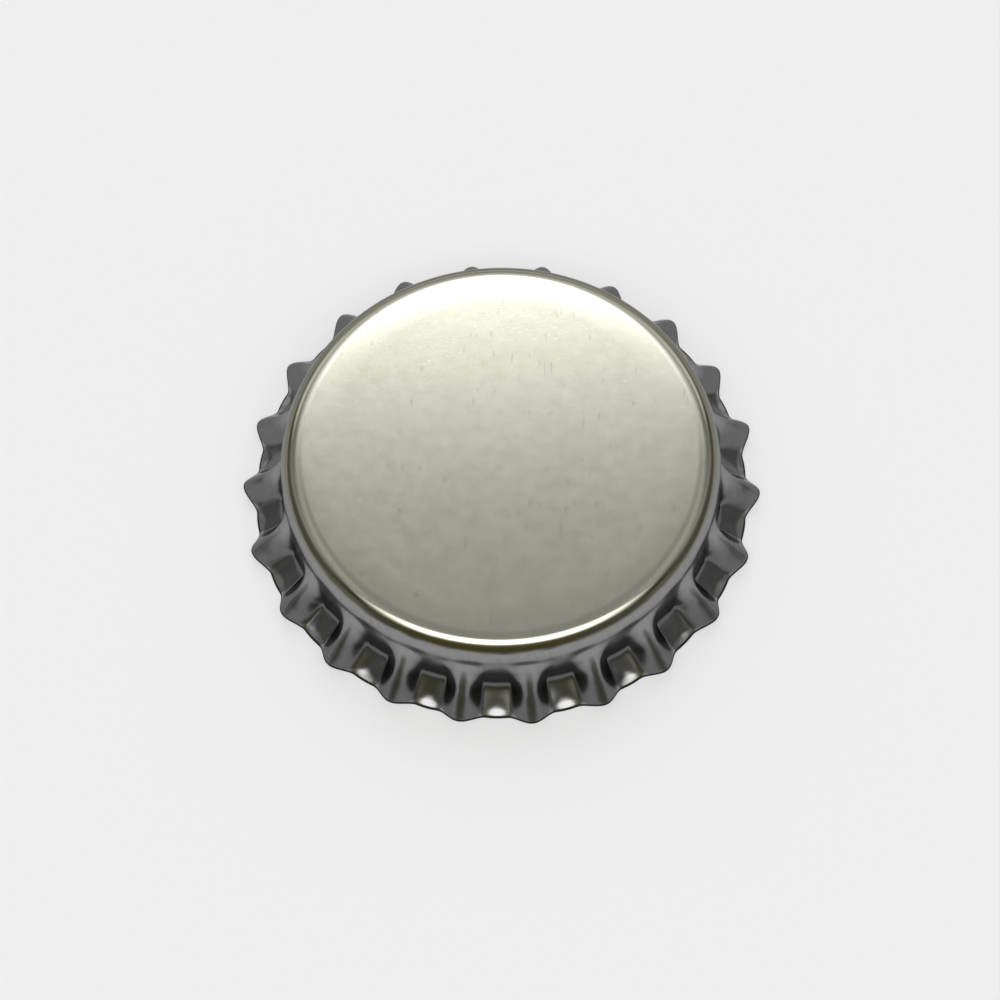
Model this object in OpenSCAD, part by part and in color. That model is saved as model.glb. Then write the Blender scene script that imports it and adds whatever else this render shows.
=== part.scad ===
// Crown cork for a 26 mm bottle lip: a fluted steel shell with a moulded
// sealing liner inside. It stands on the cut edge of its skirt, on z = 0,
// with its axis on Z.

/* [Shell] */
// Height from the standing edge to the middle of the top panel
crown_h = 6.1; // [5:0.1:9]
// Inside diameter of the neck, which slips over the bottle lip
bore_d = 26.7; // [20:0.1:40]
// Thickness of the steel sheet
sheet = 0.235; // [0.15:0.005:0.4]
// Outer radius of the shoulder between the top panel and the neck
shoulder_r = 1.5; // [1:0.1:2]
// Radius of the gentle dome of the top panel
dome_r = 400; // [150:10:600]
// Height of the plain round neck under the shoulder
neck_h = 0.35; // [0.2:0.05:0.8]

/* [Flutes] */
// Number of flutes round the skirt
flutes = 22; // [16:1:28]
// How far the tooth tips reach out from the neck
tooth_reach = 2.49; // [1.5:0.005:3.5]
// How far the lips of the pockets reach out from the neck
lip_reach = 1.745; // [1:0.005:2.5]
// Height of the tooth tips above the standing surface
tip_lift = 0.75; // [0.2:0.01:1.2]
// Height of the bend between a pocket's upright back and its sloping floor
bend_z = 1.5; // [1:0.05:2]
// Width of the flatter lip at the foot of a pocket
lip_w = 0.62; // [0.52:0.02:1]
// Slope of the lip, from the horizontal
lip_angle = 28; // [5:1:35]
// Length of pocket that the bend takes on each side of its corner
bend_leg = 0.25; // [0.1:0.05:0.35]
// Share of half a flute that a ridge takes at its waist
ridge_waist = 0.57; // [0.4:0.01:0.8]

/* [Liner] */
// Thickness of the liner's middle, under the top panel
liner_film = 0.3; // [0.15:0.05:0.6]
// Thickness of the liner's sealing ring, measured at the shoulder's top
ring_t = 0.95; // [0.6:0.05:1.5]
// Width of the flat face of the sealing ring
ring_w = 2.2; // [1:0.1:3.5]
// Gap between the sealing ring and the bore
ring_gap = 0.55; // [0.3:0.05:1]
// Radius of the sealing ring's edges
ring_edge_r = 0.25; // [0.1:0.05:0.3]

/* [Hidden] */

steel = "silver";
compound = "lightgrey";

// Shell: the shoulder arc is centred on (shoulder_c, shoulder_z). The lift
// lets the dome and the shoulder cross instead of only touching.
bore_r = bore_d / 2;
neck_r = bore_r + sheet;
shoulder_c = neck_r - shoulder_r;
cross_lift = 0.002;
dome_z = crown_h - dome_r;
shoulder_z = dome_z + sqrt(pow(dome_r - shoulder_r, 2) - pow(shoulder_c, 2)) + cross_lift;
neck_z = shoulder_z - neck_h;
dome_fn = 1440;
round_fn = 220;
arc_fn = 96;

// Skirt: its sheet starts as a tongue inside the wall of the neck, and has its
// full thickness from just below the neck down.
tongue_inset = 0.04;
tongue_h = 0.1;
tongue_drop = 0.01;
skirt_drop = 0.03;
skirt_z = neck_z - skirt_drop;
lip_z = sheet * cos(lip_angle);

// Crest of a ridge, as [radius, height] control points
ridge_h = skirt_z - tip_lift;
ridge_line = [
    [neck_r, skirt_z],
    [neck_r, skirt_z - 0.2 * ridge_h],
    [neck_r + 0.56 * tooth_reach, skirt_z - 0.6 * ridge_h],
    [neck_r + tooth_reach, tip_lift]
];

// Middle of a pocket: upright back, bend, sloping floor, flatter lip
pocket_top = [neck_r, skirt_z];
bend_corner = [neck_r, bend_z];
lip_edge = [neck_r + lip_reach, lip_z];
lip_corner = lip_edge + lip_w * [-cos(lip_angle), sin(lip_angle)];
back_end = towards(bend_corner, pocket_top, bend_leg);
floor_start = towards(bend_corner, lip_corner, bend_leg);
floor_end = towards(lip_corner, bend_corner, bend_leg);
lip_start = towards(lip_corner, lip_edge, bend_leg);

// Shares of the way from the neck to the cut edge where the back, the bend,
// the floor and the rounding above the lip end
back_share = 0.56;
bend_share = 0.68;
floor_share = 0.80;
lip_share = 0.90;
row_shares = [0, 0.2, 0.4, back_share, 0.62, bend_share, floor_share, lip_share, 1];

// Shares of half a flute where a ridge has a column of points on each side
column_halves = [-0.75, -0.55, -0.42, -0.3, -0.15, 0, 0.15, 0.3, 0.42, 0.55, 0.75, 1];
columns = len(column_halves) * flutes;

// A ridge spreads from its waist up to the neck and down to the tooth's tip.
// Its sides are steep at the waist and flare out at the tip.
neck_spread = 0.42;
tip_start = 0.7;
tip_foot = 0.65;
ridge_sharp = 1.7;
waist_power = 1.3;
tip_power = 1.9;
crest_round = 0.04;

// Liner: its upper faces are those of the shell's inside.
ring_z = shoulder_z + shoulder_r - sheet - ring_t;
ring_out = bore_r - ring_gap;
ring_in = ring_out - 2 * ring_edge_r - ring_w;

function bezier(p, t) =
    pow(1 - t, 3) * p[0] + 3 * pow(1 - t, 2) * t * p[1]
    + 3 * (1 - t) * pow(t, 2) * p[2] + pow(t, 3) * p[3];

function smooth(x) = let (c = min(max(x, 0), 1)) c * c * (3 - 2 * c);

function unit(v) = v / norm(v);

function towards(a, b, length) = a + length * unit(b - a);

function between(a, b, t) = a + t * (b - a);

function bent(a, b, c, t) = between(between(a, b, t), between(b, c, t), t);

// How far t has come from low to high
function part_of(t, low, high) = (t - low) / (high - low);

function pocket_line(t) =
    t < back_share ? between(pocket_top, back_end, part_of(t, 0, back_share))
    : t < bend_share ? bent(back_end, bend_corner, floor_start, part_of(t, back_share, bend_share))
    : t < floor_share ? between(floor_start, floor_end, part_of(t, bend_share, floor_share))
    : t < lip_share ? bent(floor_end, lip_corner, lip_start, part_of(t, floor_share, lip_share))
    : between(lip_start, lip_edge, part_of(t, lip_share, 1));

// 1 on the crest of a ridge, 0 in a pocket
function ridge_share(a, t) =
    let (
        turn = a * flutes / 360,
        half = norm([2 * (turn - round(turn)), crest_round]) - crest_round,
        tip = smooth(part_of(t, tip_start, 1)),
        waist = ridge_waist + neck_spread * pow(max(1 - t / back_share, 0), 2),
        foot = between(waist, tip_foot, tip),
        power = between(waist_power, tip_power, tip)
    )
    pow(max(1 - pow(half / foot, ridge_sharp), 0), power);

// Outside of the skirt at angle a, t from 0 at the neck to 1 at the cut edge
function skin(a, t) =
    let (w = ridge_share(a, t), q = between(pocket_line(t), bezier(ridge_line, t), w))
    [q[0] * cos(a), q[0] * sin(a), q[1]];

// Direction out of the sheet, from two short steps along the surface
function out_of(a, t) =
    let (da = 0.1, dt = 0.004)
    unit(cross(skin(a + da, t) - skin(a - da, t), skin(a, t - dt) - skin(a, t + dt)));

// Angle of the sheet's column i
function column_angle(i) =
    let (n = len(column_halves), flute = floor(i / n))
    360 / flutes * (flute + column_halves[i % n] / 2);

function ring_points(t, inside) = [
    for (i = [0 : columns - 1])
        let (a = column_angle(i))
        skin(a, t) - (inside ? sheet * out_of(a, t) : [0, 0, 0])
];

function round_ring(r, z) = [
    for (i = [0 : columns - 1])
        let (a = column_angle(i))
        [r * cos(a), r * sin(a), z]
];

// Two triangles for each cell between rings j and k of the skirt's mesh
function band(j, k) = [
    for (i = [0 : columns - 1])
        let (n = (i + 1) % columns, a = j * columns, b = k * columns)
        each [[a + i, b + n, b + i], [a + i, a + n, b + n]]
];

module shell_outside() {
    intersection() {
        translate([0, dome_z]) circle(r = dome_r, $fn = dome_fn);
        union() {
            square([shoulder_c, crown_h]);
            square([neck_r, shoulder_z]);
            translate([shoulder_c, shoulder_z]) circle(r = shoulder_r, $fn = arc_fn);
        }
    }
}

module shell_inside() {
    intersection() {
        translate([0, dome_z]) circle(r = dome_r - sheet, $fn = dome_fn);
        union() {
            square([shoulder_c, crown_h]);
            square([bore_r, shoulder_z]);
            translate([shoulder_c, shoulder_z]) circle(r = shoulder_r - sheet, $fn = arc_fn);
        }
    }
}

// Top panel, shoulder and neck, turned from one section
module cup() {
    rotate_extrude($fn = round_fn)
        difference() {
            intersection() {
                shell_outside();
                translate([0, neck_z]) square([neck_r, crown_h - neck_z]);
            }
            shell_inside();
        }
}

// Fluted skirt, one closed sheet from the tongue in the neck to the cut edge
module skirt() {
    rows = len(row_shares);
    outside = [for (t = row_shares) ring_points(t, false)];
    inside = [for (j = [rows - 1 : -1 : 0]) ring_points(row_shares[j], true)];
    tongue_zs = [neck_z + tongue_h, neck_z - tongue_drop];
    tongue_outside = [for (k = [0, 1]) round_ring(neck_r - tongue_inset, tongue_zs[k])];
    tongue_inside = [for (k = [1, 0]) round_ring(bore_r + tongue_inset, tongue_zs[k])];
    rings = concat(tongue_outside, outside, inside, tongue_inside);
    last = len(rings) - 1;
    polyhedron(
        points = [for (ring = rings) each ring],
        faces = [for (j = [0 : last]) each band(j, (j + 1) % (last + 1))],
        convexity = 10
    );
}

module crown_shell() {
    color(steel)
        union() {
            cup();
            skirt();
        }
}

module ring_edge(r) {
    translate([r, ring_z + ring_edge_r]) circle(r = ring_edge_r, $fn = arc_fn);
}

module liner_section() {
    difference() {
        square([ring_out, crown_h]);
        translate([0, dome_z]) circle(r = dome_r - sheet - liner_film, $fn = dome_fn);
    }
    translate([ring_in, ring_z + ring_edge_r]) square([ring_out - ring_in, crown_h - ring_z]);
    translate([ring_in + ring_edge_r, ring_z]) square([ring_w, crown_h - ring_z]);
    ring_edge(ring_in + ring_edge_r);
    ring_edge(ring_out - ring_edge_r);
}

module liner() {
    color(compound)
        rotate_extrude($fn = round_fn)
            intersection() {
                shell_inside();
                liner_section();
            }
}

crown_shell();
liner();
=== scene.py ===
"""Crown cork, teeth down on a pale sheet.

The pressed steel shell follows the lines of its solid on a finer mesh, with a rounded cut edge and
small differences from flute to flute. The moulded liner keeps its own solid.
"""
import math

import bpy
import numpy as np
from mathutils import Matrix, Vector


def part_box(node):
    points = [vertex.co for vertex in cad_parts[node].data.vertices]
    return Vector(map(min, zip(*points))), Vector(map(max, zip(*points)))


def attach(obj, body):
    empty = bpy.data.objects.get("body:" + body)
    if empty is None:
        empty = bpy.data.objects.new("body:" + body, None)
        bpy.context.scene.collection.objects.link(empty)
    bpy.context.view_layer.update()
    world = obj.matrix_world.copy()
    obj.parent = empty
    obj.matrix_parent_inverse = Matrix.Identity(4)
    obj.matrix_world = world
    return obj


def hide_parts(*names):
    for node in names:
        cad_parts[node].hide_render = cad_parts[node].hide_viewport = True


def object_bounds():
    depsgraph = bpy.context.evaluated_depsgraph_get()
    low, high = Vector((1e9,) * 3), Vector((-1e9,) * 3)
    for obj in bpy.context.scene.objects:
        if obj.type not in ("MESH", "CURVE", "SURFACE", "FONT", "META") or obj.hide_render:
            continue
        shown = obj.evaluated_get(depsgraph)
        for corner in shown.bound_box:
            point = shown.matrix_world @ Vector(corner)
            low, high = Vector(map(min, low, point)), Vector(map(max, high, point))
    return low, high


MM = 0.001

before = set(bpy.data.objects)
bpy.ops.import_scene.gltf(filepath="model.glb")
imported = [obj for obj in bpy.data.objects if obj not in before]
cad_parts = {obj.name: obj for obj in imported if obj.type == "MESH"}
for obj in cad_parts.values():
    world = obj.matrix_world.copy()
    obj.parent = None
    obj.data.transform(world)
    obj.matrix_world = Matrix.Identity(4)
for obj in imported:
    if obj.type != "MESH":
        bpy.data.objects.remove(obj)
cad_low, cad_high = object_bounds()

# ---------------------------------------------------------------- sizes of the shell, in metres
CROWN_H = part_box("crown_shell")[1][2]
SHEET = 0.235 * MM
DOME_R = 400 * MM
SHOULDER_R = 1.5 * MM
NECK_R = 13.585 * MM
NECK_H = 0.35 * MM
FLUTES = 22

# the cut edge is rounded, and bulges this far past the end of the sheet
EDGE_BULGE = 0.17 * MM
# a power of 1 would make the rounding an ellipse, and less makes it blunter
EDGE_POWER = 0.5
# how far the sheet of the teeth and of the pockets' lips reaches out from the neck
TOOTH_REACH = 2.55 * MM - EDGE_BULGE
LIP_REACH = 1.765 * MM - EDGE_BULGE
TIP_LIFT = 0.88 * MM

# the section's dome is an arc about (0, DOME_Z) and its shoulder one about (SHOULDER_C, SHOULDER_Z),
# and they meet where both have turned by SHOULDER_START from level
SHOULDER_C = NECK_R - SHOULDER_R
DOME_Z = CROWN_H - DOME_R
SHOULDER_Z = DOME_Z + math.sqrt((DOME_R - SHOULDER_R) ** 2 - SHOULDER_C ** 2)
SHOULDER_START = math.asin(SHOULDER_C / (DOME_R - SHOULDER_R))
NECK_Z = SHOULDER_Z - NECK_H

# crest of a flute: its curve leaves the neck straight down for the first share of its drop, and
# comes to the tip from a point at the other two shares of its reach and of its drop
CREST_LEAVE = 0.26
CREST_OUT = 0.56
CREST_DOWN = 0.60
CREST_DROP = NECK_Z - TIP_LIFT
CREST_LINE = [
    (NECK_R, NECK_Z),
    (NECK_R, NECK_Z - CREST_LEAVE * CREST_DROP),
    (NECK_R + CREST_OUT * TOOTH_REACH, NECK_Z - CREST_DOWN * CREST_DROP),
    (NECK_R + TOOTH_REACH, TIP_LIFT),
]

# middle of a pocket: height of its bend, width and slope of its lip, and how much the bend and
# the lip's bend take of the straight stretches on either side of them
POCKET_BEND = 1.5 * MM
LIP_W = 0.62 * MM
LIP_ANGLE = math.radians(28)
BEND_LEG = 0.32 * MM
LIP_LEG = 0.25 * MM
# to each side of its middle, over this share of half a flute, the lip loses a share of its width
# and turns steeper
LIP_SPAN = 0.38
LIP_TAPER = 0.6
LIP_TURN = math.radians(18)
# shares of the way from neck to cut edge at which the back, the bend, the floor and the lip's
# bend of a pocket end
BACK_SHARE = 0.56
BEND_SHARE = 0.68
FLOOR_SHARE = 0.80
LIP_SHARE = 0.90
# the end of the lip's sheet is held up by this much, so that its rounding stands on the ground
LIP_CLEARANCE = 0.25 * EDGE_BULGE
POCKET_TOP = np.array([NECK_R, NECK_Z])
LIP_EDGE = np.array([NECK_R + LIP_REACH, SHEET * math.cos(LIP_ANGLE) + LIP_CLEARANCE])

# share of a flute that its ridge takes at the waist, what is added to that at the neck, and its
# share at the tooth's tip, which starts to flare at TIP_START of the way down
RIDGE_WAIST = 0.59
RIDGE_TOP = 0.40
RIDGE_TIP = 0.65
TIP_START = 0.70
# powers that set how flat the crest is, and how softly its sides run out at the waist and the tip
CREST_FLAT = 1.7
WAIST_SOFT = 1.7
TIP_SOFT = 1.9
# the crest itself is rounded off over this share of half a flute
CREST_ROUND = 0.04

# pressing leaves no two flutes quite alike: these are the lean of a crest as a share of half a
# flute, the shift of its tip outwards and up, the shift and the slant of a pocket's bend, and the
# share of LIP_W that its lip has
uneven = np.random.default_rng(5)
CREST_LEAN = uneven.uniform(-0.07, 0.07, FLUTES)
TIP_SHIFT = uneven.uniform(-1, 1, (FLUTES, 2)) * (0.05 * MM, 0.08 * MM)
BEND_SHIFT = uneven.uniform(-0.10 * MM, 0.12 * MM, FLUTES)
BEND_SLANT = uneven.uniform(-0.16 * MM, 0.16 * MM, FLUTES)
LIP_UNEVEN = uneven.uniform(0.72, 1.08, FLUTES)

# the mesh has this many columns, and these rings: on the dome and the shoulder, outside and
# inside, on the neck, on the skirt and round the cut edge
COLUMNS = 36 * FLUTES
TOP_RINGS = (8, 18)
UNDER_RINGS = (5, 9)
NECK_RINGS = 2
SKIRT_RINGS = 33
EDGE_RINGS = 5
COLUMN_ANGLES = np.arange(COLUMNS) * math.tau / COLUMNS
# the first ring lies at this share of the way from the axis to the shoulder
FIRST_RING = 0.03
# the skirt's normals are measured over these steps, in radians round it and as a share down it
TURN_STEP = 0.002
DOWN_STEP = 0.004


# ---------------------------------------------------------------- shape of the shell
def smooth(x):
    c = np.clip(x, 0, 1)
    return c * c * (3 - 2 * c)


def unit(v):
    return v / np.linalg.norm(v, axis=-1, keepdims=True)


def towards(a, b, length):
    """The point at this distance from a on the way to b."""
    return a + (b - a) * length / np.linalg.norm(b - a, axis=-1, keepdims=True)


def straight(a, b, s):
    """The point at share s of the way from a to b."""
    return a + (b - a) * s[..., None]


def bend(a, corner, b, s):
    """A curve from a to b that starts and ends in line with the corner."""
    s = s[..., None]
    return (1 - s) ** 2 * a + 2 * s * (1 - s) * corner + s * s * b


def bezier(points, t):
    """The point at share t along the curve from the first point to the last of the four."""
    a, b, c, d = np.asarray(points)
    t = t[..., None]
    s = 1 - t
    return s ** 3 * a + 3 * s ** 2 * t * b + 3 * s * t ** 2 * c + t ** 3 * d


def crest_distance(angle):
    """0 on the crest of the nearest flute and 1 in the middle of a pocket."""
    turn = angle * FLUTES / math.tau
    crest = np.round(turn)
    half = 2 * (turn - crest)
    lean = CREST_LEAN[crest.astype(int) % FLUTES]
    return np.abs(half - lean * (1 - np.abs(half)))


def pocket_section(angle):
    """The two corners of a pocket's section, and how wide its lip is."""
    turn = angle * FLUTES / math.tau
    pocket = np.floor(turn).astype(int) % FLUTES
    bend_z = POCKET_BEND + BEND_SHIFT[pocket] + BEND_SLANT[pocket] * (2 * (turn % 1) - 1)
    bend_corner = np.stack([np.full_like(bend_z, NECK_R), bend_z], -1)
    aside = np.clip((1 - crest_distance(angle)) / LIP_SPAN, 0, 1)
    slope = LIP_ANGLE + LIP_TURN * aside ** 2
    width = (LIP_UNEVEN[pocket] * (1 - LIP_TAPER * aside ** 2))[..., None]
    lip_corner = LIP_EDGE + LIP_W * width * np.stack([-np.cos(slope), np.sin(slope)], -1)
    return bend_corner, lip_corner, width


def pocket_line(angle, t):
    """Section of a pocket: upright back, tight bend, steep floor, second bend and flatter lip."""
    bend_corner, lip_corner, width = pocket_section(angle)
    back_end = towards(bend_corner, POCKET_TOP, BEND_LEG)
    floor_start = towards(bend_corner, lip_corner, BEND_LEG)
    floor_end = towards(lip_corner, bend_corner, LIP_LEG * width)
    lip_start = towards(lip_corner, LIP_EDGE, LIP_LEG * width)
    ends = [BACK_SHARE, BEND_SHARE, FLOOR_SHARE, LIP_SHARE, 1]
    back, first_bend, floor, second_bend, lip = [
        (t - start) / (end - start) for start, end in zip([0] + ends, ends)]
    stretches = [
        straight(POCKET_TOP, back_end, back),
        bend(back_end, bend_corner, floor_start, first_bend),
        straight(floor_start, floor_end, floor),
        bend(floor_end, lip_corner, lip_start, second_bend),
    ]
    reached = [(t < end)[..., None] for end in ends[:-1]]
    return np.select(reached, stretches, straight(lip_start, LIP_EDGE, lip))


def ridge_share(angle, t):
    """How far the surface has come from a pocket (0) to the crest of a flute (1)."""
    half = np.sqrt(crest_distance(angle) ** 2 + CREST_ROUND ** 2) - CREST_ROUND
    tip = smooth((t - TIP_START) / (1 - TIP_START))
    foot = RIDGE_WAIST + RIDGE_TOP * np.clip(1 - t / BACK_SHARE, 0, 1) ** 2
    foot = foot + (RIDGE_TIP - foot) * tip
    soft = WAIST_SOFT + (TIP_SOFT - WAIST_SOFT) * tip
    return np.clip(1 - (half / foot) ** CREST_FLAT, 0, 1) ** soft


def skin(angle, t):
    """Outside of the skirt: t runs from 0 at the neck to 1 at the cut edge."""
    ridge = ridge_share(angle, t)[..., None]
    flute = np.round(angle * FLUTES / math.tau).astype(int) % FLUTES
    crest = bezier(CREST_LINE, t) + smooth(t)[..., None] * TIP_SHIFT[flute]
    section = ridge * crest + (1 - ridge) * pocket_line(angle, t)
    r, z = section[..., 0], section[..., 1]
    return np.stack([r * np.cos(angle), r * np.sin(angle), z], -1)


def skirt_rings():
    """Outside of the skirt, ring by ring, and its normals."""
    angle, t = np.meshgrid(COLUMN_ANGLES, np.linspace(0, 1, SKIRT_RINGS))
    around = skin(angle + TURN_STEP, t) - skin(angle - TURN_STEP, t)
    upward = skin(angle, t - DOWN_STEP) - skin(angle, t + DOWN_STEP)
    return skin(angle, t), unit(np.cross(around, upward))


def edge_rings(outer, normal):
    """Rounding of the cut edge, from the outside of the sheet to its inside."""
    onward = unit(outer[-1] - outer[-2])
    rings = []
    for a in np.linspace(0, math.pi, EDGE_RINGS + 2)[1:-1]:
        bulge = EDGE_BULGE * math.sin(a) ** EDGE_POWER
        depth = SHEET * (1 - math.cos(a)) / 2
        rings.append(outer[-1] + bulge * onward - depth * normal[-1])
    return np.stack(rings)


def panel_rings(inset, dome_rings, shoulder_rings):
    """Dome, shoulder and neck from near the axis outwards, moved into the sheet by inset."""
    profile = []
    r = DOME_R - inset
    for tilt in np.linspace(FIRST_RING, 1, dome_rings) * SHOULDER_START:
        profile.append((r * math.sin(tilt), DOME_Z + r * math.cos(tilt)))
    r = SHOULDER_R - inset
    for tilt in np.linspace(SHOULDER_START, math.pi / 2, shoulder_rings)[1:]:
        profile.append((SHOULDER_C + r * math.sin(tilt), SHOULDER_Z + r * math.cos(tilt)))
    for k in range(1, NECK_RINGS + 1):
        profile.append((NECK_R - inset, SHOULDER_Z - NECK_H * k / (NECK_RINGS + 1)))
    r, z = np.array(profile).T[..., None]
    return np.stack([r * np.cos(COLUMN_ANGLES), r * np.sin(COLUMN_ANGLES), z.repeat(COLUMNS, 1)], -1)


def shell_mesh():
    """The whole sheet as one closed mesh, and the numbers of the faces on its cut edge."""
    outer, normal = skirt_rings()
    top = panel_rings(0, *TOP_RINGS)
    under = panel_rings(SHEET, *UNDER_RINGS)
    inner = outer - SHEET * normal
    rings = np.concatenate([top, outer, edge_rings(outer, normal), inner[::-1], under[::-1]])
    last = len(rings) - 1
    top_middle = len(rings) * COLUMNS
    under_middle = top_middle + 1
    verts = rings.reshape(-1, 3).tolist() + [(0, 0, CROWN_H), (0, 0, CROWN_H - SHEET)]

    def at(ring, column):
        return ring * COLUMNS + column % COLUMNS

    faces = [(at(j, i), at(j + 1, i), at(j + 1, i + 1), at(j, i + 1))
             for j in range(last) for i in range(COLUMNS)]
    for i in range(COLUMNS):
        faces.append((top_middle, at(0, i), at(0, i + 1)))
        faces.append((under_middle, at(last, i + 1), at(last, i)))
    mesh = bpy.data.meshes.new("crown_shell_sheet")
    mesh.from_pydata(verts, [], faces)
    mesh.update()
    mesh.shade_smooth()
    edge_start = len(top) + SKIRT_RINGS - 1
    return mesh, range(edge_start * COLUMNS, (edge_start + EDGE_RINGS + 1) * COLUMNS)


# ---------------------------------------------------------------- nodes
def tinted(grey, tint=(1, 1, 1)):
    return (*[grey * k for k in tint], 1)


class Graph:
    """A node tree, with a short way to add each kind of node that is used here."""

    def __init__(self, tree):
        self.nodes = tree.nodes
        self.links = tree.links

    def feed(self, target, value):
        """Link an input to another node's output, or set it to a plain value."""
        if isinstance(value, bpy.types.NodeSocket):
            self.links.new(value, target)
        else:
            target.default_value = value

    def math(self, operation, *values, clamp=False):
        n = self.nodes.new("ShaderNodeMath")
        n.operation = operation
        n.use_clamp = clamp
        for target, value in zip(n.inputs, values):
            self.feed(target, value)
        return n.outputs["Value"]

    def product(self, first, *others):
        for other in others:
            first = self.math("MULTIPLY", first, other)
        return first

    def vector(self, operation, *values, output="Vector"):
        n = self.nodes.new("ShaderNodeVectorMath")
        n.operation = operation
        for target, value in zip(n.inputs, values):
            self.feed(target, value)
        return n.outputs[output]

    def ease(self, value, start, end, low=0, high=1):
        """Runs smoothly from low, where the value is at start, to high, where it is at end."""
        n = self.nodes.new("ShaderNodeMapRange")
        n.interpolation_type = "SMOOTHSTEP"
        n.inputs["From Min"].default_value = start
        n.inputs["From Max"].default_value = end
        n.inputs["To Min"].default_value = low
        n.inputs["To Max"].default_value = high
        self.links.new(value, n.inputs["Value"])
        return n.outputs["Result"]


class Material(Graph):
    """A node material, worked out from the place of a point on the object."""

    def __init__(self, name):
        self.mat = bpy.data.materials.new(name)
        self.mat.use_nodes = True
        super().__init__(self.mat.node_tree)
        self.bsdf = self.nodes["Principled BSDF"]
        self.coord = self.nodes.new("ShaderNodeTexCoord").outputs["Object"]

    def surface(self, name, value):
        self.feed(self.bsdf.inputs[name], value)

    def height(self):
        split = self.nodes.new("ShaderNodeSeparateXYZ")
        self.links.new(self.coord, split.inputs[0])
        return split.outputs["Z"]

    def radius(self):
        """Distance from the object's axis."""
        return self.vector("LENGTH", self.vector("MULTIPLY", self.coord, (1, 1, 0)), output="Value")

    def noise(self, size, detail, stretch=(1, 1, 1)):
        """Noise with lumps of about the given size, in metres, drawn out along each axis."""
        n = self.nodes.new("ShaderNodeTexNoise")
        n.inputs["Scale"].default_value = 1
        n.inputs["Detail"].default_value = detail
        frequency = [1 / (size * k) for k in stretch]
        self.links.new(self.vector("MULTIPLY", self.coord, frequency), n.inputs["Vector"])
        return n.outputs["Fac"]

    def mix(self, factor, a, b):
        n = self.nodes.new("ShaderNodeMix")
        n.data_type = "RGBA"
        self.links.new(factor, n.inputs["Factor"])
        self.feed(n.inputs["A"], a)
        self.feed(n.inputs["B"], b)
        return n.outputs["Result"]

    def wander(self, factor, greys, tint=(1, 1, 1)):
        """A colour between two greys of the same tint."""
        return self.mix(factor, tinted(greys[0], tint), tinted(greys[1], tint))

    def bump(self, height, depth, below=None):
        """Relief of the given depth, in metres, over any relief already made."""
        n = self.nodes.new("ShaderNodeBump")
        n.inputs["Distance"].default_value = depth
        self.links.new(height, n.inputs["Height"])
        if below is not None:
            self.links.new(below, n.inputs["Normal"])
        return n.outputs["Normal"]


# ---------------------------------------------------------------- materials
# the panel's warm tint is a painted reflection of the warm light above it
PAINTED_WARM_PANEL_TINT = (1.0, 1.006, 0.85)
# olive tint of the painted reflection on the shoulder band
PAINTED_OLIVE_BAND_TINT = (1.0, 0.965, 0.72)
SKIRT_TINT = (1.0, 1.007, 1.02)
# greys of the steel, in pairs where its colour wanders between two
PANEL_GREYS = (0.485, 0.515)
FLECK_GREY = 0.56
NICK_GREY = 0.44
# the dark band on the shoulder is a painted reflection of dim, olive-lit surroundings near the
# horizon
PAINTED_BAND_GREY = 0.22
# the skirt is darkened as painted shade, most on the teeth and deep in the pockets; the lips stay
# lighter than the teeth
SKIRT_SHADE_GREYS = (0.24, 0.32)
TOOTH_SHADE_GREYS = (0.13, 0.18)
LIP_GREY = 0.29
POCKET_SHADE_GREY = 0.13
# grey of what the steel mirrors at a grazing angle
GRAZING_GREY = 0.6
# roughness of the steel, with what the panel and the mottling add to it
SKIRT_ROUGH = 0.21
SHOULDER_ROUGH = 0.12
PANEL_ROUGH = 0.035
MOTTLE_ROUGH = (0.018, 0.042)
# turn of the shoulder from level, in degrees, over which its polish with the painted dark olive band,
# its pale top and the panel start
POLISH_TURN = (62, 50)
PALE_TURN = (38, 30)
PANEL_TURN = (17, 9)
# the grain lies along y, as the sheet was rolled, and down the skirt, as that was drawn
ROLLED = (1, 7, 1)
NICKED = (1, 6, 1)
DRAWN = (1, 1, 5)


def up_shoulder(m, turn):
    """Runs from 0 to 1 between two turns of the shoulder from level, in degrees."""
    start, end = [SHOULDER_Z + SHOULDER_R * math.cos(math.radians(degrees)) for degrees in turn]
    return m.ease(m.height(), start, end)


def panel_colour(m, mottle):
    """Pale and mottled, with a few bright flecks and faint darker nicks along the rolling, all in a
    warm tint that is a painted reflection of warm light.
    """
    fleck = m.ease(m.noise(0.16 * MM, detail=1), 0.66, 0.74)
    nick = m.ease(m.noise(0.13 * MM, detail=0, stretch=NICKED), 0.74, 0.82)
    colour = m.wander(mottle, PANEL_GREYS, PAINTED_WARM_PANEL_TINT)
    colour = m.mix(fleck, colour, tinted(FLECK_GREY, PAINTED_WARM_PANEL_TINT))
    return m.mix(nick, colour, tinted(NICK_GREY, PAINTED_WARM_PANEL_TINT))


def skirt_colour(m):
    """Darker than the panel, and darkest on the teeth and deep in the pockets: painted shade over the
    drawn grain of the steel.
    """
    drawn = m.noise(0.25 * MM, detail=2, stretch=DRAWN)
    above_teeth = m.ease(m.height(), 1.8 * MM, 3.4 * MM)
    on_lip = m.ease(m.height(), 0.52 * MM, 0.4 * MM)
    near_neck = m.ease(m.radius(), NECK_R + 0.4 * MM, NECK_R + 0.05 * MM)
    below_neck = m.ease(m.height(), NECK_Z - 0.5 * MM, NECK_Z - 1.4 * MM)
    # painted shade: the teeth darker than the skirt above them, and the lips lighter again
    tooth = m.wander(drawn, TOOTH_SHADE_GREYS, SKIRT_TINT)
    colour = m.mix(above_teeth, tooth, m.wander(drawn, SKIRT_SHADE_GREYS, SKIRT_TINT))
    colour = m.mix(on_lip, colour, tinted(LIP_GREY, SKIRT_TINT))
    # painted shade deep in the pockets, on their backs below the neck
    return m.mix(m.product(near_neck, below_neck), colour, tinted(POCKET_SHADE_GREY, SKIRT_TINT))


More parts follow.
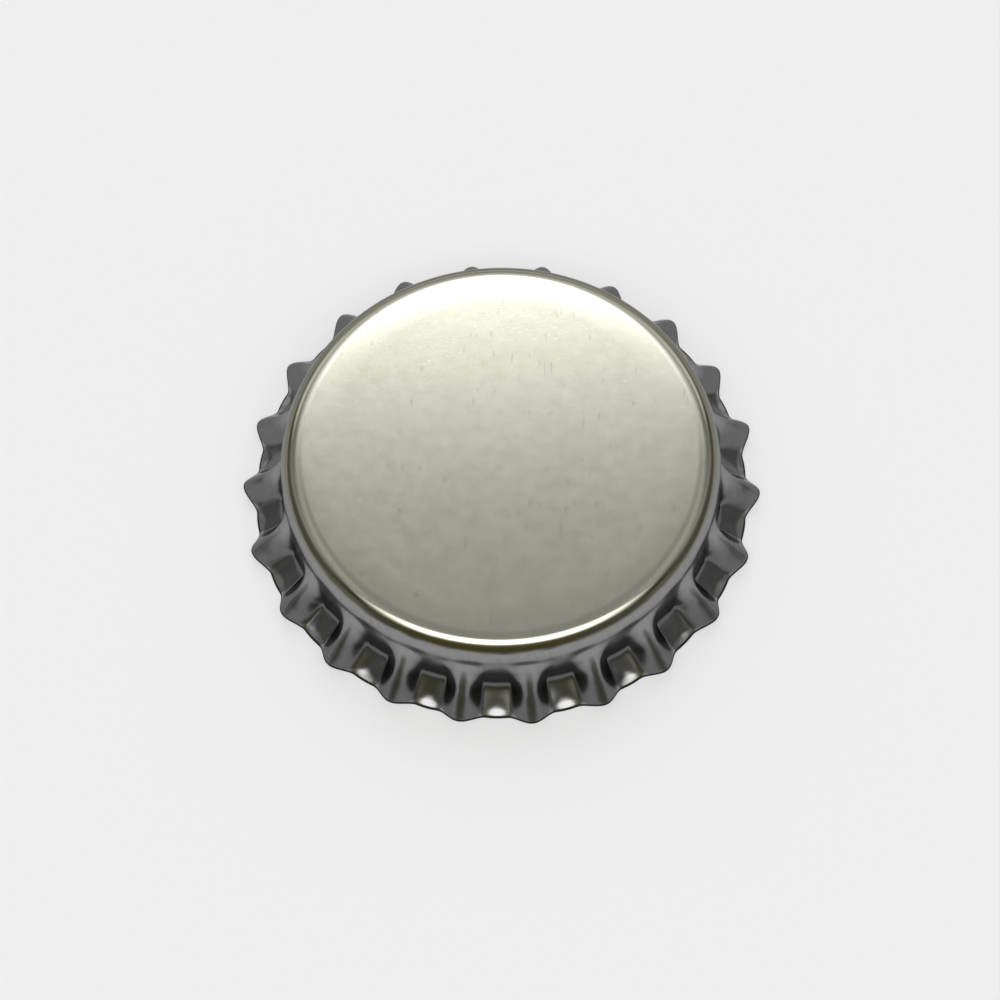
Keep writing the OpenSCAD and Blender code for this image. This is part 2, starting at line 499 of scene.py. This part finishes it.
def steel_material():
    """Rolled, lacquered sheet: pale on the panel, with a darker, warmer band on the shoulder that is
    a painted reflection, and painted shade on the skirt.
    """
    m = Material("satin_steel")
    on_shoulder = up_shoulder(m, POLISH_TURN)
    mottle = m.noise(0.9 * MM, detail=4)
    # painted reflection: a dark olive band between the skirt and the pale top of the shoulder
    band = tinted(PAINTED_BAND_GREY, PAINTED_OLIVE_BAND_TINT)
    shoulder = m.mix(up_shoulder(m, PALE_TURN), band, panel_colour(m, mottle))
    m.surface("Base Color", m.mix(on_shoulder, skirt_colour(m), shoulder))
    m.surface("Metallic", 1)
    m.surface("Specular Tint", tinted(GRAZING_GREY))
    rough = m.ease(on_shoulder, 0, 1, SKIRT_ROUGH, SHOULDER_ROUGH)
    rough = m.math("ADD", rough, m.ease(up_shoulder(m, PANEL_TURN), 0, 1, 0, PANEL_ROUGH))
    m.surface("Roughness", m.math("ADD", rough, m.ease(mottle, 0.2, 0.8, *MOTTLE_ROUGH)))
    skirt_ripple = m.mix(on_shoulder, m.noise(1.1 * MM, detail=0), tinted(0.5))
    relief = m.bump(skirt_ripple, 0.04 * MM)
    relief = m.bump(m.noise(0.11 * MM, detail=2), 0.0007 * MM, relief)
    relief = m.bump(m.noise(0.14 * MM, detail=3, stretch=ROLLED), 0.0008 * MM, relief)
    m.surface("Normal", m.bump(mottle, 0.002 * MM, relief))
    return m.mat


def cut_edge_material():
    """Bare sheared edge of the sheet, dulled and dark, painted near black to stand in also for the
    contact shadow under it.
    """
    m = Material("cut_edge_and_shadow")
    torn = m.noise(0.08 * MM, detail=3)
    # near black: partly the dull bare edge, partly painted contact shadow
    m.surface("Base Color", m.wander(torn, (0.010, 0.030)))
    m.surface("Roughness", m.ease(torn, 0.2, 0.8, 0.6, 0.8))
    m.surface("Specular IOR Level", 0.1)
    m.surface("Normal", m.bump(torn, 0.01 * MM))
    return m.mat


def liner_material():
    """Moulded sealing compound: off-white, faintly cloudy, with a soft sheen."""
    m = Material("seal_compound")
    cloud = m.noise(1.6 * MM, detail=3)
    m.surface("Base Color", m.mix(cloud, (0.70, 0.71, 0.69, 1), (0.77, 0.78, 0.76, 1)))
    m.surface("Roughness", m.ease(cloud, 0.2, 0.8, 0.38, 0.5))
    m.surface("Normal", m.bump(m.noise(0.12 * MM, detail=2), 0.003 * MM))
    return m.mat


PAPER_WHITE = (0.90, 0.90, 0.905, 1)
# share of its lit colour, with the cap's shadow, that the sheet keeps where it is seen
SHADOW_SHARE = 0.42


def paper_material():
    """Pale sheet under the cap, close to an even white where it is seen or mirrored."""
    m = Material("paper")
    fibre = m.noise(0.5 * MM, detail=4)
    m.surface("Base Color", m.mix(fibre, (0.86, 0.865, 0.88, 1), (0.89, 0.895, 0.91, 1)))
    m.surface("Roughness", 0.9)
    m.surface("Normal", m.bump(fibre, 0.004 * MM))
    glow = m.nodes.new("ShaderNodeEmission")
    glow.inputs["Color"].default_value = PAPER_WHITE
    path = m.nodes.new("ShaderNodeLightPath")
    seen = m.math("ADD", path.outputs["Is Camera Ray"], path.outputs["Is Glossy Ray"])
    seen = m.math("ADD", seen, path.outputs["Is Transmission Ray"])
    both = m.nodes.new("ShaderNodeMixShader")
    m.feed(both.inputs[0], m.ease(seen, 0, 1, 0, 1 - SHADOW_SHARE))
    m.feed(both.inputs[1], m.bsdf.outputs["BSDF"])
    m.feed(both.inputs[2], glow.outputs["Emission"])
    m.feed(m.nodes["Material Output"].inputs["Surface"], both.outputs["Shader"])
    return m.mat


# ---------------------------------------------------------------- camera
CAMERA_ELEVATION = math.radians(63.4)
CAMERA_AZIMUTH = math.radians(2.68)
CAMERA_ROLL = math.radians(-1.69)
CAMERA_DISTANCE = 400 * MM
# in the millimetres that a Blender camera uses
SENSOR_WIDTH = 36
# width of the view at that distance, and how far its middle lies right of and above the origin
VIEW_WIDTH = 62.321 * MM
VIEW_RIGHT = -0.0997 * MM
VIEW_UP = -0.243 * MM


def add_camera():
    cos_e, sin_e = math.cos(CAMERA_ELEVATION), math.sin(CAMERA_ELEVATION)
    cos_a, sin_a = math.cos(CAMERA_AZIMUTH), math.sin(CAMERA_AZIMUTH)
    cos_r, sin_r = math.cos(CAMERA_ROLL), math.sin(CAMERA_ROLL)
    back = np.array([cos_e * sin_a, -cos_e * cos_a, sin_e])
    level = np.array([cos_a, sin_a, 0])
    upright = np.cross(back, level)
    right = cos_r * level + sin_r * upright
    up = cos_r * upright - sin_r * level
    place = back * CAMERA_DISTANCE + right * VIEW_RIGHT + up * VIEW_UP
    data = bpy.data.cameras.new("camera")
    data.sensor_width = SENSOR_WIDTH
    data.lens = SENSOR_WIDTH * CAMERA_DISTANCE / VIEW_WIDTH
    data.clip_start = 10 * MM
    camera = bpy.data.objects.new("camera", data)
    camera.matrix_world = Matrix([*np.column_stack([right, up, back, place]).tolist(), [0, 0, 0, 1]])
    bpy.context.scene.collection.objects.link(camera)
    bpy.context.scene.camera = camera


# ---------------------------------------------------------------- light
WARM = (1.0, 0.99, 0.955)
OLIVE = (1.0, 0.91, 0.35)
COOL = (1.0, 1.0, 1.25)


class Sky(Graph):
    """Room light as a sum of soft patches. Each patch is set by its tilt from the zenith, positive
    towards the window, and by its angle to the side, positive to the right, both in degrees."""

    def __init__(self, tree):
        super().__init__(tree)
        direction = self.nodes.new("ShaderNodeTexCoord").outputs["Generated"]
        cos_a, sin_a = math.cos(CAMERA_AZIMUTH), math.sin(CAMERA_AZIMUTH)
        right, far, self.high = [
            self.vector("DOT_PRODUCT", direction, axis, output="Value")
            for axis in ((cos_a, sin_a, 0), (-sin_a, cos_a, 0), (0, 0, 1))]
        self.tilt = self.math("DEGREES", self.math("ARCTAN2", far, self.high))
        self.side = self.math("DEGREES", self.math("ARCSINE", right))
        self.total = None

    def band(self, value, low, high, soft):
        """1 between low and high, with soft edges of the given width."""
        risen = self.ease(value, low - soft / 2, low + soft / 2)
        fallen = self.ease(value, high - soft / 2, high + soft / 2)
        return self.math("SUBTRACT", risen, fallen, clamp=True)

    def curve(self, value, low, high, stops):
        """Brightness along (value, brightness) stops, with straight lines between them."""
        top = max(level for _, level in stops)
        n = self.nodes.new("ShaderNodeValToRGB")
        ramp = n.color_ramp.elements
        ramp.remove(ramp[1])
        ramp[0].position = (stops[0][0] - low) / (high - low)
        for place, _ in stops[1:]:
            ramp.new((place - low) / (high - low))
        for stop, (_, level) in zip(ramp, stops):
            stop.color = tinted(level / top)
        share = self.math("DIVIDE", self.math("SUBTRACT", value, low), high - low)
        self.links.new(share, n.inputs[0])
        return self.math("MULTIPLY", n.outputs["Color"], top)

    def add(self, colour, *masks, level=1):
        """Add a patch of this colour and level where all of the masks are bright."""
        patch = self.vector("MULTIPLY", self.product(*masks), [level * k for k in colour])
        self.total = patch if self.total is None else self.vector("ADD", self.total, patch)


def add_walls(sky):
    """Pale ceiling, and dim walls with a brighter strip along the horizon behind the camera."""
    sky.add(WARM, sky.ease(sky.high, 0.50, 0.80), level=0.335)
    sky.add(WARM, sky.curve(sky.tilt, -90, 90, [
        (-89, 0.5), (-83, 0.42), (-75, 0.02), (-40, 0.02), (0, 0.05), (89, 0.05)]))


def add_front_light(sky):
    """Olive light from below the camera, with neutral light to both sides of it."""
    near = sky.curve(sky.tilt, -90, 0, [(-82, 0), (-72, 1), (-48, 0.95), (-40, 0)])
    front = sky.band(sky.side, -42, 26, 18)
    sky.add(OLIVE, near, front, level=0.17)
    sky.add(WARM, near, sky.math("SUBTRACT", 1, front), level=0.2)


def add_window(sky):
    """Window on the far side with a cool core, over a paler wall."""
    wall = sky.curve(sky.tilt, 0, 90, [(56, 0), (64, 0.8), (78, 0.46), (86, 0.28), (89.5, 0.04)])
    sky.add(WARM, wall, sky.band(sky.side, -50, 50, 12))
    pane = sky.curve(sky.tilt, 0, 90, [
        (10, 0), (20, 0.05), (24.5, 0), (26, 0.06), (27.2, 0.36), (27.8, 0.50), (29, 0.65),
        (32, 1.3), (34, 3.0), (36, 3.8), (50, 3.8), (64, 0)])
    core = sky.curve(sky.tilt, 0, 90, [(33, 0), (35, 1.2), (50, 1.2), (60, 0)])
    spread = sky.curve(sky.side, -60, 60, [
        (-40, 0), (-28, 0.1), (-18, 0.26), (-12, 0.42), (-5, 0.9), (0, 1), (4, 0.9),
        (10, 0.43), (22, 0.14), (40, 0)])
    sky.add(WARM, pane, spread)
    sky.add(COOL, core, spread)


def add_side_walls(sky):
    """Paler walls to both sides, and another patch further out on each."""
    raised = sky.product(sky.ease(sky.high, 0.12, 0.30), sky.ease(sky.tilt, -40, 10))
    for low, high in ((-64, -26), (26, 64)):
        sky.add(WARM, sky.band(sky.side, low, high, 12), raised, level=0.20)
    for low, high in ((-100, -56), (56, 100)):
        sky.add(WARM, sky.band(sky.side, low, high, 12), level=0.21)


def add_lamp(sky):
    """Wide lamp overhead, on the camera's side."""
    across = sky.curve(sky.side, -60, 60, [
        (-50, 0), (-36, 0.45), (-26, 1), (26, 1), (36, 0.45), (50, 0)])
    sky.add(WARM, sky.band(sky.tilt, -44, -21, 3), across, level=3)


def add_room():
    world = bpy.data.worlds.new("room")
    world.use_nodes = True
    bpy.context.scene.world = world
    sky = Sky(world.node_tree)
    for add_light in (add_walls, add_front_light, add_window, add_side_walls, add_lamp):
        add_light(sky)
    sky.links.new(sky.total, sky.nodes["Background"].inputs["Color"])


# ---------------------------------------------------------------- build
FLOOR_WIDTH = 3000 * MM
EDGE_SLOT = 1


def add_shell():
    """The whole shell in steel, with the faces of its cut edge in a second material."""
    mesh, edge_faces = shell_mesh()
    shell = bpy.data.objects.new("shell_sheet", mesh)
    bpy.context.scene.collection.objects.link(shell)
    mesh.materials.append(steel_material())
    mesh.materials.append(cut_edge_material())
    for k in edge_faces:
        mesh.polygons[k].material_index = EDGE_SLOT
    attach(shell, "root")
    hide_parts("crown_shell")


def dress_liner():
    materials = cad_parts["liner"].data.materials
    materials.clear()
    materials.append(liner_material())


def add_floor():
    bpy.ops.mesh.primitive_plane_add(size=FLOOR_WIDTH, location=(0, 0, cad_low[2]))
    floor = bpy.context.active_object
    floor.name = "floor"
    floor.data.materials.append(paper_material())


add_shell()
dress_liner()
add_floor()
add_camera()
add_room()
bpy.context.scene.view_settings.view_transform = "Standard"
